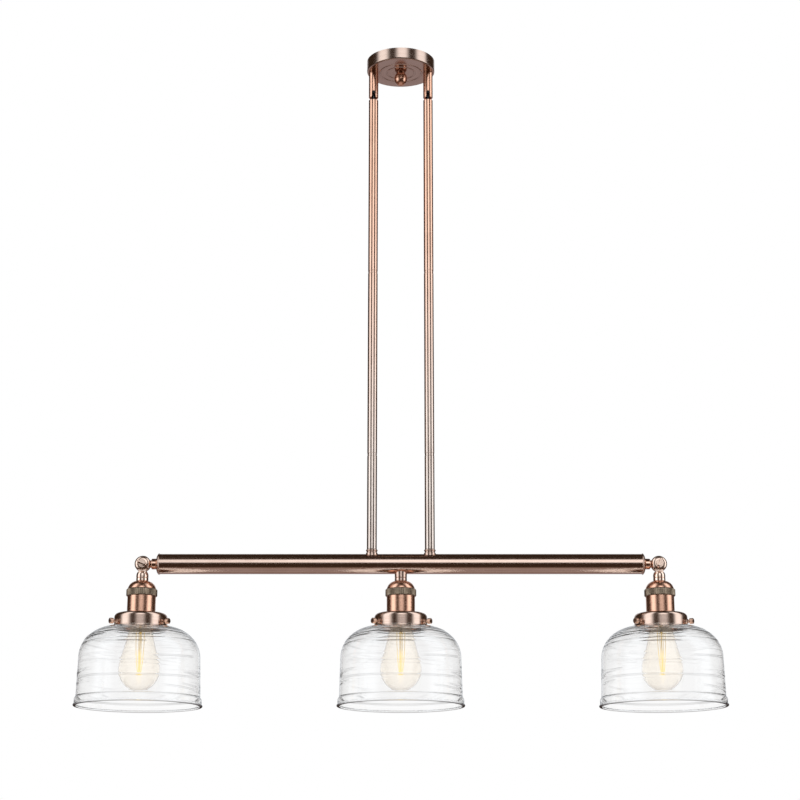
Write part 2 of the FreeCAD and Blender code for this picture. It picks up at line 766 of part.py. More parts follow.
# ---- glass shade ---------------------------------------------------------------------------------
def crown_arc(inset):
    """The bell's crown as a quarter of an ellipse, with its upper and its lower end as (r, z)."""
    across, up = shade_radius - shade_flare_radius - inset, crown_height - inset
    centre = Vec(shade_flare_radius, 0, crown_z - crown_height)
    side, top = centre + Vec(across, 0, 0), centre + Vec(0, 0, up)
    if across > up:
        quarter = Part.ArcOfEllipse(Part.Ellipse(side, top, centre), 0, math.pi / 2)
    else:
        quarter = Part.ArcOfEllipse(Part.Ellipse(top, side, centre), -math.pi / 2, 0)
    return quarter.toShape(), (top.x, top.z), (side.x, side.z)


def glass_shade():
    """Bell of clear glass: a lip inside the holder, an elliptical crown, a nearly straight wall and a stepped
    rim."""
    lip_foot = screw_z + screw_radius + tip_gap
    lip_top = lip_foot + shade_lip_height
    throat = shade_waist_radius - shade_wall
    outer_crown, outer_top, outer_side = crown_arc(0)
    inner_crown, inner_top, inner_side = crown_arc(shade_wall)
    flare = shade_flare_radius - shade_waist_radius
    inner_flare = shade_flare_radius - throat
    early = 1 - math.sqrt(0.5)
    lip_start, lip_arc = round_corner(shade_lip_radius, lip_top, lip_round, -1, -1)
    step_top = rim_z + rim_height
    step_start = (shade_foot_radius, step_top)
    rim_outer = shade_foot_radius + rim_step
    rim_inner = rim_outer - shade_wall
    return turned(
        (throat, lip_top), lip_arc[1], (lip_arc[0], lip_start), (shade_lip_radius, lip_foot + tip_gap),
        (shade_waist_radius, lip_foot), (shade_waist_radius, crown_z + flare),
        ((shade_waist_radius + early * flare, crown_z + early * flare), outer_top),
        (outer_crown, outer_side), step_start, bowed(step_start, (rim_outer, step_top - rim_step_drop),
                                                     rim_step_bow),
        (rim_outer, rim_z + rim_bead_height),
        ((rim_outer + rim_bead, rim_z + rim_bead_middle), (rim_outer - rim_round, rim_z)),
        (rim_inner + rim_round, rim_z),
        ((rim_inner + early * rim_round, rim_z + early * rim_round), (rim_inner, rim_z + rim_round)),
        (shade_foot_radius - shade_wall, step_top), inner_side, (inner_crown, inner_top),
        ((throat + early * inner_flare, crown_z - shade_wall + early * inner_flare),
         (throat, crown_z - shade_wall + inner_flare)),
    )


# ---- bulb ----------------------------------------------------------------------------------------
def bulb_curve(inset):
    """The pear's outline as one spline, from the base to the tip, and its two ends as (r, z)."""
    neck_z = bulb_base_top_z - bulb_base_length
    span = neck_z - bulb_tip_z
    places = [(0, bulb_throat), (bulb_neck_share, bulb_neck_radius)]
    places += [(share, bulb_radius * wide) for share, wide in bulb_stations]
    points = [Vec(r - inset, 0, neck_z - share * span) for share, r in places]
    points.append(Vec(0, 0, bulb_tip_z + inset))
    curve = Part.BSplineCurve()
    curve.interpolate(Points=points, InitialTangent=Vec(0, 0, -1), FinalTangent=Vec(-1, 0, 0))
    return curve.toShape(), (points[0].x, neck_z), (0, points[-1].z)


def bulb_glass():
    outer, outer_neck, outer_tip = bulb_curve(0)
    inner, inner_neck, inner_tip = bulb_curve(bulb_wall)
    top = outer_neck[1] + bulb_collar
    return turned((inner_neck[0], top), (outer_neck[0], top), outer_neck, (outer, outer_tip), inner_tip,
                  (inner, inner_neck))


def bulb_base():
    """Screw base: a contact button, an insulating cone, rolled ridges, and a collar round the glass."""
    top = bulb_base_top_z
    root = bulb_base_radius - thread_depth
    inside = bulb_base_radius - bulb_collar_wall
    first = top - thread_start
    low = top - bulb_base_length
    steps = [(0, top), (button_radius, top), (button_radius, top - button_height), (root, top - cone_foot),
             (root, first)]
    for k in range(thread_turns):
        z = first - k * thread_pitch
        steps.append(((bulb_base_radius, z - thread_pitch / 2), (root, z - thread_pitch)))
    steps += [(bulb_base_radius, low), (inside, low), (inside, low + bulb_collar), (0, low + bulb_collar)]
    return turned(*steps)


def bulb_filament():
    """Glass mount with its support rod, two anchor discs and a cage of upright filament wires."""
    top = bulb_base_top_z - bulb_base_length + bulb_collar
    low = top - mount_length
    cage_low = low - filament_length
    mount = turned((0, top), (mount_radius, top), (mount_radius / 2, top - mount_length / 3),
                   (mount_radius / 3, low), (0, low))
    support = rod(support_radius, cage_low, low)
    discs = [rod(cage_radius + disc_rim, z, z + disc_height) for z in (cage_low, low - disc_height)]
    wires = []
    for k in range(filament_wires):
        place = polar(cage_radius, 360 / filament_wires * k)
        wires.append(rod(filament_wire_radius, cage_low, low, place.x, place.y))
    return joined(mount, support, *discs, *wires)


# ---- the whole pendant ---------------------------------------------------------------------------
def on_both_sides(shape):
    return [moved(shape, x) for x in swivel_sides.values()]


def canopy_nodes():
    nodes = {
        "canopy_shell": canopy_shell(),
        "mounting_crossbar": mounting_crossbar(),
        "canopy_stud": canopy_stud(),
        "ground_screw": ground_screw(),
        "canopy_finial": canopy_finial(),
        "canopy_locknuts": canopy_locknuts(),
        "swivel_nipples": group(on_both_sides(swivel_nipple())),
    }
    for side, x in swivel_sides.items():
        nodes[f"swivel_housing_{side}"] = moved(swivel_housing(), x)
    return nodes


def hanger_nodes():
    cap = along_x(end_cap(), bar_length / 2, bar_z)
    arm = moved(knuckle_arm(), knuckle_x, 0, bar_z)
    nodes = {
        "stem_couplers": group(on_both_sides(stem_coupler(middle_top_z))
                               + on_both_sides(stem_coupler(lower_top_z))),
        "bar_collars": group(on_both_sides(bar_collar())),
        "bar_nipples": group(on_both_sides(bar_nipple())),
        "bar_locknuts": bar_locknuts(),
        "bar_tube": bar_tube(),
        "end_caps": group([cap, cap.mirror(Vec(), X_AXIS)]),
        "knuckle_arm_left": arm.mirror(Vec(), X_AXIS),
        "knuckle_arm_right": arm,
        "centre_neck": centre_neck(),
    }
    for side, x in swivel_sides.items():
        nodes[f"swivel_ball_{side}"] = moved(swivel_ball(), x)
        nodes[f"stem_upper_{side}"] = moved(stem(upper_foot_z, stem_top_z), x)
        nodes[f"stem_middle_{side}"] = moved(stem(middle_foot_z, middle_top_z), x)
        nodes[f"stem_lower_{side}"] = moved(stem(lower_foot_z, lower_top_z), x)
    return nodes


def knuckle_nodes():
    nodes = {}
    for side, angle in (("left", left_key_angle), ("right", right_key_angle)):
        nodes[f"knuckle_neck_{side}"] = moved(knuckle_neck(), lamp_places[side], 0, bar_z)
        nodes[f"knuckle_key_{side}"] = moved(knuckle_key(angle), lamp_places[side], 0, bar_z)
    return nodes


def lamp_nodes():
    pieces = (socket_cap, knurled_ring, socket_shell, socket_insert, glass_holder, shade_screws, glass_shade,
              bulb_glass, bulb_base, bulb_filament)
    nodes = {}
    for piece in pieces:
        shape = piece()
        for side, x in lamp_places.items():
            nodes[f"{piece.__name__}_{side}"] = moved(shape, x)
    return nodes


def main():
    os.makedirs("parts", exist_ok=True)
    nodes = {**canopy_nodes(), **hanger_nodes(), **knuckle_nodes(), **lamp_nodes()}
    for name, shape in nodes.items():
        shape.exportStep(f"parts/{name}.step")
    print(f"{len(nodes)} nodes, bar {bar_z:.1f}, knuckle {knuckle_x:.1f}, rim {rim_z:.1f}")


main()
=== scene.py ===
"""The looks of a three-light island pendant: antique copper, clear rippled glass shades and pear bulbs.

Metres, +Z up, the ceiling at z = 0, the front towards -Y. The frame gives every place: its metal pieces stay and
get their finish here, and the glass shades and the filaments are built here in their finer form.
"""
import math

import bpy
import numpy as np
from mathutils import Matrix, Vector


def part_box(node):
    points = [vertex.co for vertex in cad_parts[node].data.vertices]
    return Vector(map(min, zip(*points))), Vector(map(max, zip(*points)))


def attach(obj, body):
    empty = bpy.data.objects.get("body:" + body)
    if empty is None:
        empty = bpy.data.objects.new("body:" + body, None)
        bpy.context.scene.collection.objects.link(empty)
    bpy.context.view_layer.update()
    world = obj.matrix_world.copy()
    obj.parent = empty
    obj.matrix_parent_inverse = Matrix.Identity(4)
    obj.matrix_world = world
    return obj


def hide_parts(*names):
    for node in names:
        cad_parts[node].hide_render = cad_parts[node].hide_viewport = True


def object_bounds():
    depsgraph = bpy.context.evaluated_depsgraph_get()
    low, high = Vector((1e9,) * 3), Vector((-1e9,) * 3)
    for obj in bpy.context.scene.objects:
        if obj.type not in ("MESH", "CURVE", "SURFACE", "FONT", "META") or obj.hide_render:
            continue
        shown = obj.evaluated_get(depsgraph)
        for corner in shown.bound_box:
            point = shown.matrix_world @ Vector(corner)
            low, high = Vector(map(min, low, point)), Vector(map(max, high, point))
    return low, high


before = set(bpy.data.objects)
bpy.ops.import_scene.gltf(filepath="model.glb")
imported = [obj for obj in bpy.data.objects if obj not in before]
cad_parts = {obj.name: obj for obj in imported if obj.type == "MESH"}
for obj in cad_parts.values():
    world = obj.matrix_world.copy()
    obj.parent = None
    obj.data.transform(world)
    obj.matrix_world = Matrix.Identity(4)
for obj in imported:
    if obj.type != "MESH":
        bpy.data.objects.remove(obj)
cad_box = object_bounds()

BODY = {"left": "lamp_left", "centre": "hanger", "right": "lamp_right"}
mm = 0.001

# ---- camera ---------------------------------------------------------------------------------------
camera_place = (-0.0013, -2.9045, -1.3728)
camera_pitch = 14.99             # degrees above the horizon
camera_lens = 83.556
camera_film = 36.0
camera_reach = 100               # metres

# ---- studio ---------------------------------------------------------------------------------------
# Azimuths run from the front, -Y, towards +X. Each panel: azimuth, half width, soft edge, elevation, half height,
# soft edge, radiance. Later panels lie over earlier ones.
bright = (1.55, 1.68, 1.80)
studio_panels = {
    "back_low": (180, 50, 30, -27, 17, 10, (0.40, 0.35, 0.37)),
    "back_wall": (180, 26, 16, 20, 17.5, 5, (0.58, 0.60, 0.63)),
    "left_softbox": (-64, 19, 20, 22, 44, 20, bright),
    "right_softbox": (75, 19, 18, 22, 44, 20, bright),
    "front_softbox": (5, 18, 18, 25.5, 17, 11, bright),
}
studio_heights = (               # elevation, radiance between the panels
    (-90, (0.34, 0.29, 0.30)), (-66, (0.44, 0.39, 0.39)), (-56, (0.31, 0.24, 0.21)), (-44, (0.05, 0.029, 0.017)),
    (0, (0.042, 0.026, 0.016)), (60, (0.050, 0.032, 0.020)), (78, (0.035, 0.023, 0.015)),
    (90, (0.020, 0.014, 0.010)),
)
backdrop_heights = (             # elevation, brightness of the backdrop that shows through the glass
    (-90, 0.56), (-9, 0.58), (-2, 0.74), (2.5, 0.94), (4.5, 1.0), (9.5, 1.0), (13, 0.86), (19, 0.64), (32, 0.42),
    (90, 0.28),
)
backdrop_gain = 0.975            # of all these brightnesses
mirrored_share = 0.95            # of the backdrop, the rest being studio, in what the glass mirrors inside itself
white = (1.0, 1.0, 1.0)
floor_radius = 11.0
floor_sides = 96
floor_drop = 1.55                # below the shades
floor_tones = ((0.86, 0.86, 0.86), (0.83, 0.83, 0.83))
floor_noise = (0.6, 2)           # scale, detail
floor_roughness = 0.9
fill_strength = 2.9
fill_angle = 70
fill_tilt = (18, 10)             # degrees about x and y

# ---- finishes -------------------------------------------------------------------------------------
# A noise is given by its scale and its detail, a grain by how fine it is along x, y and z, and a fade by a noise's
# range and the values that it turns into.
# copper_pink and copper_orange are the plate's own two tones. The canopy's darker copy of the pink is painted
# shade, and the knuckles' lighter copy of the pink and the arms' lighter copy of the orange are painted light.
copper_pink = (0.72, 0.52, 0.42)
copper_pink_shaded = (0.60, 0.44, 0.36)
copper_orange = (0.92, 0.51, 0.35)
copper_orange_lit = (1.0, 0.62, 0.45)
copper_rose = (0.86, 0.50, 0.35)
copper_grey = (0.74, 0.62, 0.54)
copper_pink_lit = (0.96, 0.71, 0.57)
copper_brown = (0.62, 0.38, 0.27)
canopy_grain = (12, 1, 12)       # along the radius, round, and along z
bar_grain = (2, 30, 30)
stem_grain = (8, 8, 1)
ring_grain = (3, 3, 40)
cast_grain = (10, 10, 10)
grain_noise, grain_range = (90, 4), (0.25, 0.75)
grain_bump = 0.02
bump_height = 0.2 * mm
worn_tone = 0.45                 # of the orange, where the plate is worn
streak_noise, streak_fade = (14, 3), (0.35, 0.72, 0.0, 0.16)
cloud_noise, cloud_fade = (28, 4), (0.48, 0.78, 0.0, 0.18)
hollow_shade_tone = 0.3                # of the worn tone, in recesses, where patina and painted shade darken the plate
hollow_shade_reach = 2.5 * mm
hollow_shade_range = (0.2, 0.85)
hollow_shade_samples = 6
tone_heights = (-0.15, -0.80)    # where a plate's colour starts to turn into its lower one, and where it has
satin_gain = 0.08                # roughness that satin adds
satin_edge = 0.5 * mm
disc_radius = 12.6 * mm          # of a knuckle, whose disc is satin and whose neck is polished

plain_noise, plain_range = (120, 4), (0.3, 0.7)
plain_dark = 0.6                 # of a plain metal's colour, where it is darkest
plain_share = 0.3                # of that dark colour there
plain_bump = 0.1
moulded_noise = (160, 3)
moulded_pale = 1.5               # times a moulding's colour, where it is palest
moulded_spread = 0.12            # of its roughness

glass_ior = 1.5
film_noise, film_fade = (30, 3), (0.3, 0.8, 0.0, 0.03)
glow_colour = (1.0, 0.80, 0.58)
bulb_tint, bulb_glow = (1.0, 0.978, 0.94), 0.022
mount_tint = (0.99, 0.97, 0.93)
strand_dim, strand_bright, strand_base = (0.50, 0.33, 0.06), (1.0, 0.74, 0.10), (0.10, 0.06, 0.02)

# ---- glass shade ----------------------------------------------------------------------------------
shade_wall = 3.0 * mm
shade_lip_radius = 39.2 * mm
shade_lip_height = 6.0 * mm
shade_waist_radius = 36.4 * mm
shade_flare_radius = 41.0 * mm   # where the crown starts
shade_radius = 94.4 * mm
crown_height = 48.2 * mm
shade_height = 123.7 * mm
shade_foot_radius = 96.0 * mm
lip_round = 1.4 * mm
lip_edge = 0.5 * mm              # the lip's underside slants from this far above its foot
lip_hollow = 0.3 * mm            # to this far below it
rim_height = 14.0 * mm           # from the foot to the step
rim_round = 0.8 * mm
bead_height = 3.2 * mm           # height above the foot at which the bead starts
bead_start = 0.2 * mm            # how far it stands out there
bead_reach = 1.5 * mm            # how far it stands out at its widest
bead_middle = 1.3 * mm           # height of its widest
bead_gap = 0.6 * mm              # between it and the end of the wall above
step_out = 2.4 * mm              # how far out the step above the rim leads, on both faces of the glass
step_drop = 4.4 * mm             # how far down it leads
step_round = 1.2 * mm            # how far above the step its upper round starts
step_inset = 0.02 * mm           # how far in that round starts on the outside
step_sag = 0.25 * mm             # how far out it is level with the step, and how far in the lower round's knee is
step_edge = 0.9 * mm             # how far out and down the upper round ends
step_base = 1.4 * mm             # how far out and down the lower round starts
step_knee = 0.62                 # share of the drop at which its knee lies
corner = 1 - math.sqrt(0.5)      # of a quarter circle's radius, from its sides to its middle

shade_segments = 320
crown_points = 160
arc_points, short_arc_points, bead_points = 8, 6, 14
outer_pitch = 0.6 * mm
inner_pitch = 3.0 * mm
foot_pitch = 1.0 * mm

# Each main ripple: degrees from the front, reach in degrees, then in mm the run down the outline, the rise per
# radian, the height and the width.
main_ripples = (
    (0, 84, 122, 0.0, 0.48, 0.75), (45, 30, 91, -6.0, 0.48, 0.70), (-12, 66, 99, 1.5, 0.30, 0.70),
    (-8, 26, 70, 1.0, 0.45, 0.75), (-58, 30, 57, -9.0, 0.55, 0.80), (-50, 34, 51, -8.0, 0.50, 0.75),
    (38, 40, 46, 5.0, 0.34, 0.70), (52, 26, 139, 5.0, 0.42, 0.70), (66, 20, 134, 7.0, 0.38, 0.65),
    (-66, 22, 112, -6.0, 0.42, 0.65), (-70, 16, 128, -4.0, 0.38, 0.65), (70, 18, 117, 6.0, 0.42, 0.70),
)
ripple_seed = 11
ripple_count = 70                # of fainter ripples between the main ones, each within these ranges
ripple_reach = (0.25, 1.3)       # radians
ripple_place = (0.12, 0.97)      # share of the outline
ripple_rise = (-5, 5)            # mm per radian
ripple_height = (0.06, 0.29)     # mm
ripple_width = (0.5, 0.85)       # mm
ripple_wave = (0.2, 0.9)         # mm that any ripple, also a main one, swings up and down
ripple_waves = (2, 6)            # how often it does so round the shade, the last number not included
ripple_end = 0.4                 # of its reach, over which a ripple dies away
ripples_start = 10 * mm          # how far down the outline all ripples have come in
ripples_stop = 5 * mm            # how far before its end they start to go

# ---- bulb -----------------------------------------------------------------------------------------
axis_radius = 0.0001 * mm        # of the ring that closes a turned piece on its axis
mount_radius = 6.0 * mm
mount_outline = (                # share of that radius, mm below the filament's top
    (0, 1), (0.60, 1), (1, 2), (0.72, 6), (0.42, 12), (0.36, 22), (0.30, 25), (0.18, 26), (0, 26),
)
mount_length = mount_outline[-1][1] * mm
mount_segments = 32
rod_radius = 0.75 * mm           # of the rod down the middle, which the strands light up
rod_overlap = 2.0 * mm           # with the mount
rod_bevel = 0.5 * mm
rod_foot_radius = 3.0 * mm
rod_foot_top = 0.3 * mm          # above the strands' feet
rod_foot_depth = 0.6 * mm        # below them
rod_foot_bevel = 0.2 * mm
rod_segments = 24
strand_length = 64.0 * mm
strand_radius = 0.40 * mm
strand_overlap = 1.0 * mm        # with the mount
strand_belly = 1.1               # of a strand's distance from the axis at its top
strand_belly_place = 0.55        # of its length
strand_order, strand_steps, strand_round = 3, 10, 2    # of a strand's curve, and of its section
strand_sides = (                 # each strand's name, and its place in mm off the axis at its top and its foot
    ("near_left", -2.2, 1.8, -1.6, 0.8), ("near_right", 2.2, -1.8, 1.6, -0.8),
    ("far_left", -6.2, -1.5, -2.4, -0.8), ("far_right", 6.2, 1.5, 2.4, 0.8),
)
glow_from = 22.0 * mm            # how far down the strands burn brighter
glow_fade = 16.0 * mm            # how much further down they reach their full brightness


# ---- nodes ----------------------------------------------------------------------------------------
def put(tree, kind, inputs=None, **settings):
    """A new node with its settings, and its inputs by name or number, each a value or a socket to link."""
    node = tree.nodes.new("ShaderNode" + kind)
    for name, value in settings.items():
        setattr(node, name, value)
    for key, value in (inputs or {}).items():
        if isinstance(value, bpy.types.NodeSocket):
            tree.links.new(value, node.inputs[key])
        else:
            node.inputs[key].default_value = value
    return node


def calc(tree, operation, *values):
    """One Math node over values or sockets."""
    return put(tree, "Math", dict(enumerate(values)), operation=operation).outputs[0]


def fade(tree, value, low, high, to_low=0.0, to_high=1.0, smooth=True):
    """value mapped from low..high to to_low..to_high, and held beyond."""
    kind = "SMOOTHSTEP" if smooth else "LINEAR"
    inputs = {0: value, 1: low, 2: high, 3: to_low, 4: to_high}
    return put(tree, "MapRange", inputs, interpolation_type=kind).outputs[0]


def mixed(tree, share, first, second):
    """One colour from two, each a colour or a socket."""
    first, second = (c if isinstance(c, bpy.types.NodeSocket) else (*c, 1.0) for c in (first, second))
    return put(tree, "Mix", {0: share, 6: first, 7: second}, data_type="RGBA").outputs[2]


def stepped(tree, value, stops):
    """A colour that runs through stops of (value, colour)."""
    low, high = stops[0][0], stops[-1][0]
    node = put(tree, "ValToRGB", {0: fade(tree, value, low, high, smooth=False)})
    points = node.color_ramp.elements
    while len(points) < len(stops):
        points.new(0.5)
    for point, (place, colour) in zip(points, stops):
        point.position = (place - low) / (high - low)
        point.color = (*colour, 1.0)
    return node.outputs[0]


def new_material(name):
    """A material with its tree, its shader and the tree's object coordinates."""
    material = bpy.data.materials.new(name)
    material.use_nodes = True
    tree = material.node_tree
    shader = next(n for n in tree.nodes if n.type == "BSDF_PRINCIPLED")
    place = put(tree, "TexCoord").outputs["Object"]
    return material, tree, shader, place


def noise(tree, place, scale, detail, stretch=(1, 1, 1)):
    """A noise over place, finer along x, y or z by what stretch says."""
    where = put(tree, "Mapping", {0: place, 3: stretch}).outputs[0]
    return put(tree, "TexNoise", {"Vector": where, "Scale": scale, "Detail": detail}).outputs["Fac"]


def bumped(tree, shader, height, strength):
    """A bump of that height for the shader."""
    bump = put(tree, "Bump", {"Strength": strength, "Distance": bump_height, "Height": height})
    tree.links.new(bump.outputs[0], shader.inputs["Normal"])


def turned_place(tree, place):
    """Coordinates that change only with the radius and the height, for metal spun about the z axis."""
    split = put(tree, "SeparateXYZ", {0: place}).outputs
    radius = calc(tree, "SQRT", calc(tree, "ADD", calc(tree, "MULTIPLY", split[0], split[0]),
                                     calc(tree, "MULTIPLY", split[1], split[1])))
    return put(tree, "CombineXYZ", {0: radius, 2: split[2]}).outputs[0]


# ---- finishes -------------------------------------------------------------------------------------
def copper(name, colour, grain, roughness, spun=False, bump=grain_bump, lower_colour=None, satin_from=None,
           hollows=0.7):
    """Antique copper plate: a brushed grain, worn toning, and recesses darkened by ambient occlusion, which is
    patina and painted shade together. lower_colour is the tone that the plate turns to between the canopy and the
    bar.
    Above the height satin_from the plate is satin. hollows is how far the recesses darken with that patina and
    painted shade."""
    material, tree, shader, place = new_material(name)
    level = put(tree, "SeparateXYZ", {0: place}).outputs[2]
    if lower_colour:
        colour = mixed(tree, fade(tree, level, *tone_heights), colour, lower_colour)
    grain_place = turned_place(tree, place) if spun else place
    brushed = noise(tree, grain_place, *grain_noise, grain)
    streaks = noise(tree, grain_place, *streak_noise, grain)
    cloud = noise(tree, place, *cloud_noise)
    # Ambient occlusion darkens the recesses towards a near-black copper: the plate's patina together with painted
    # shade.
    occlusion_shade = put(tree, "AmbientOcclusion", {"Distance": hollow_shade_reach}, samples=hollow_shade_samples).outputs["AO"]
    worn = tuple(worn_tone * c for c in copper_orange)
    toned = mixed(tree, fade(tree, streaks, *streak_fade), colour, worn)
    toned = mixed(tree, fade(tree, cloud, *cloud_fade), toned, worn)
    patina_and_shade = tuple(hollow_shade_tone * c for c in worn)
    toned = mixed(tree, fade(tree, occlusion_shade, *hollow_shade_range, hollows, 0.0), toned, patina_and_shade)
    tree.links.new(toned, shader.inputs["Base Color"])
    rough = fade(tree, brushed, *grain_range, *roughness)
    if satin_from is not None:
        rough = calc(tree, "ADD", rough, fade(tree, level, satin_from - satin_edge, satin_from, 0.0, satin_gain))
    tree.links.new(rough, shader.inputs["Roughness"])
    shader.inputs["Metallic"].default_value = 1.0
    bumped(tree, shader, brushed, bump)
    return material


def plain_metal(name, colour, roughness):
    """A plated or cast metal with a fine, uneven surface."""
    material, tree, shader, place = new_material(name)
    surface = noise(tree, place, *plain_noise)
    tree.links.new(fade(tree, surface, *plain_range, *roughness), shader.inputs["Roughness"])
    dark = tuple(plain_dark * c for c in colour)
    tone = mixed(tree, fade(tree, surface, *plain_range, 0.0, plain_share), colour, dark)
    tree.links.new(tone, shader.inputs["Base Color"])
    bumped(tree, shader, surface, plain_bump)
    shader.inputs["Metallic"].default_value = 1.0
    return material


def moulded(name, colour, roughness, metallic=0.0):
    """Moulded plastic or lacquer with a faint unevenness."""
    material, tree, shader, place = new_material(name)
    cloud = noise(tree, place, *moulded_noise)
    tree.links.new(mixed(tree, cloud, colour, tuple(moulded_pale * c for c in colour)), shader.inputs["Base Color"])
    rough = fade(tree, cloud, *plain_range, roughness, roughness + moulded_spread)
    tree.links.new(rough, shader.inputs["Roughness"])
    shader.inputs["Metallic"].default_value = metallic
    return material


def clear_glass(name, tint, glow=0.0):
    """Clear glass with the slight unevenness of pressed or blown ware. glow is how warmly a lit bulb shines."""
    material, tree, shader, place = new_material(name)
    shader.inputs["Base Color"].default_value = (*tint, 1.0)
    shader.inputs["Transmission Weight"].default_value = 1.0
    shader.inputs["IOR"].default_value = glass_ior
    film = noise(tree, place, *film_noise)
    tree.links.new(fade(tree, film, *film_fade), shader.inputs["Roughness"])
    shader.inputs["Emission Color"].default_value = (*glow_colour, 1.0)
    shader.inputs["Emission Strength"].default_value = glow
    return material


def glowing(name, top, foot):
    """Carbon strands that burn gold, brighter below than above. The rod below the mount wears it too, as painted
    light.
    """
    material, tree, shader, place = new_material(name)
    height = put(tree, "SeparateXYZ", {0: place}).outputs[2]
    glow = mixed(tree, fade(tree, height, top, foot), strand_dim, strand_bright)
    tree.links.new(glow, shader.inputs["Emission Color"])
    shader.inputs["Emission Strength"].default_value = 1.0
    shader.inputs["Base Color"].default_value = (*strand_base, 1.0)
    return material


def finish_frame():
    """Every node of the frame that stays gets its finish."""
    bar_low, bar_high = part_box("bar_tube")
    disc_foot = (bar_low.z + bar_high.z) / 2 - disc_radius
    finishes = {
        # The canopy's copper is a darker copy, painted shade; the arms' and the knuckles' are lighter copies,
        # painted light.
        "canopy": copper("copper_canopy", copper_pink_shaded, canopy_grain, (0.15, 0.24), spun=True, bump=0.0),
        "bar": copper("copper_bar", copper_pink, bar_grain, (0.15, 0.23), bump=0.01),
        "stem": copper("copper_stem", copper_rose, stem_grain, (0.17, 0.22), bump=0.0, lower_colour=copper_grey),
        "warm": copper("copper_warm", copper_orange, ring_grain, (0.22, 0.30)),
        "holder": copper("copper_holder", copper_pink, ring_grain, (0.17, 0.25)),
        "screw": copper("copper_screw", copper_brown, ring_grain, (0.24, 0.32)),
        "arm": copper("copper_arm", copper_orange_lit, cast_grain, (0.15, 0.21), hollows=0.1),
        "knuckle": copper("copper_knuckle", copper_pink_lit, cast_grain, (0.14, 0.22), satin_from=disc_foot,
                          hollows=0.55),
        "bronze": plain_metal("bronzed_steel", (0.36, 0.27, 0.19), (0.34, 0.48)),
        "black": plain_metal("blackened_steel", (0.05, 0.05, 0.055), (0.18, 0.30)),
        "zinc": plain_metal("zinc_plate", (0.62, 0.63, 0.66), (0.25, 0.40)),
        "brass": plain_metal("brass_plate", (0.80, 0.62, 0.30), (0.22, 0.34)),
        "green": moulded("green_lacquer", (0.03, 0.20, 0.07), 0.25, metallic=0.6),
        "phenolic": moulded("black_phenolic", (0.012, 0.012, 0.013), 0.30),
        "bulb": clear_glass("bulb_glass", bulb_tint, bulb_glow),
    }
    uses = {
        "canopy_shell": "canopy", "mounting_crossbar": "zinc", "canopy_stud": "zinc", "ground_screw": "green",
        "canopy_finial": "warm", "canopy_locknuts": "zinc", "swivel_nipples": "zinc", "swivel_housing": "warm",
        "swivel_ball": "black", "stem": "stem", "stem_couplers": "stem", "bar_collars": "holder",
        "bar_nipples": "zinc", "bar_locknuts": "zinc", "bar_tube": "bar", "end_caps": "bar",
        "knuckle_arm": "arm", "knuckle_key": "knuckle", "knuckle_neck": "knuckle", "centre_neck": "holder",
        "socket_cap": "warm", "knurled_ring": "bronze", "socket_shell": "warm", "socket_insert": "phenolic",
        "glass_holder": "holder", "shade_screws": "screw", "bulb_glass": "bulb", "bulb_base": "brass",
    }
    for name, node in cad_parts.items():
        match = max((u for u in uses if name.startswith(u)), key=len, default=None)
        if match:
            node.data.materials.clear()
            node.data.materials.append(finishes[uses[match]])


# ---- pieces ---------------------------------------------------------------------------------------
def placed(name, data):
    """A new object of the scene for a mesh, a curve, a light or a camera."""
    piece = bpy.data.objects.new(name, data)
    bpy.context.scene.collection.objects.link(piece)
    return piece


def smooth_mesh(name, points, faces, material):
    """A new object of the scene with a smooth mesh."""
    mesh = bpy.data.meshes.new(name)
    mesh.from_pydata([tuple(p) for p in points], [], faces)
    mesh.materials.append(material)
    mesh.shade_smooth()
    mesh.update()
    return placed(name, mesh)


def lathed(name, rows, segments, material, closed=False):
    """A surface of revolution about z through rows of (radius, z), or rows of per-segment radii and heights."""
    turn = np.arange(segments) * 2 * math.pi / segments
    points = []
    for radius, z in rows:
        radius, z = np.broadcast_to(radius, segments), np.broadcast_to(z, segments)
        points.append(np.stack([radius * np.sin(turn), -radius * np.cos(turn), z], 1))
    count = len(rows)
    faces = []
    for row in range(count if closed else count - 1):
        a, b = row * segments, (row + 1) % count * segments
        for j in range(segments):
            k = (j + 1) % segments
            faces.append((a + j, b + j, b + k, a + k))
    return smooth_mesh(name, np.concatenate(points), faces, material)


def spot(radius, z):
    """One point of an outline."""
    return np.array([[radius, z]])


def arc(start, middle, end, count=arc_points):
    """Points from start to end through middle, on a circle."""
    (ax, ay), (bx, by), (cx, cy) = start, middle, end
    d = 2 * (ax * (by - cy) + bx * (cy - ay) + cx * (ay - by))
    a2, b2, c2 = ax * ax + ay * ay, bx * bx + by * by, cx * cx + cy * cy
    ux = (a2 * (by - cy) + b2 * (cy - ay) + c2 * (ay - by)) / d
    uy = (a2 * (cx - bx) + b2 * (ax - cx) + c2 * (bx - ax)) / d
    radius = math.hypot(ax - ux, ay - uy)
    first, mid, last = (math.atan2(y - uy, x - ux) for x, y in (start, middle, end))
    mid, last = ((t - first) % (2 * math.pi) for t in (mid, last))
    sweep = last if mid < last else last - 2 * math.pi
    angles = first + sweep * np.linspace(0, 1, count)
    return np.stack([ux + radius * np.cos(angles), uy + radius * np.sin(angles)], 1)


def spaced(outline, pitch):
    """The same outline, with points no more than pitch apart."""
    parts = [outline[:1]]
    for a, b in zip(outline[:-1], outline[1:]):
        count = max(1, math.ceil(np.linalg.norm(b - a) / pitch))
        parts.append(a + (b - a) * np.linspace(0, 1, count + 1)[1:, None])
    return np.concatenate(parts)


def crown(crown_z, inset):
    """The bell's crown, a quarter of an ellipse from its top to its side."""
    across, up = shade_radius - shade_flare_radius - inset, crown_height - inset
    angles = np.linspace(math.pi / 2, 0, crown_points)
    return np.stack([shade_flare_radius + across * np.cos(angles),
                     crown_z - crown_height + up * np.sin(angles)], 1)


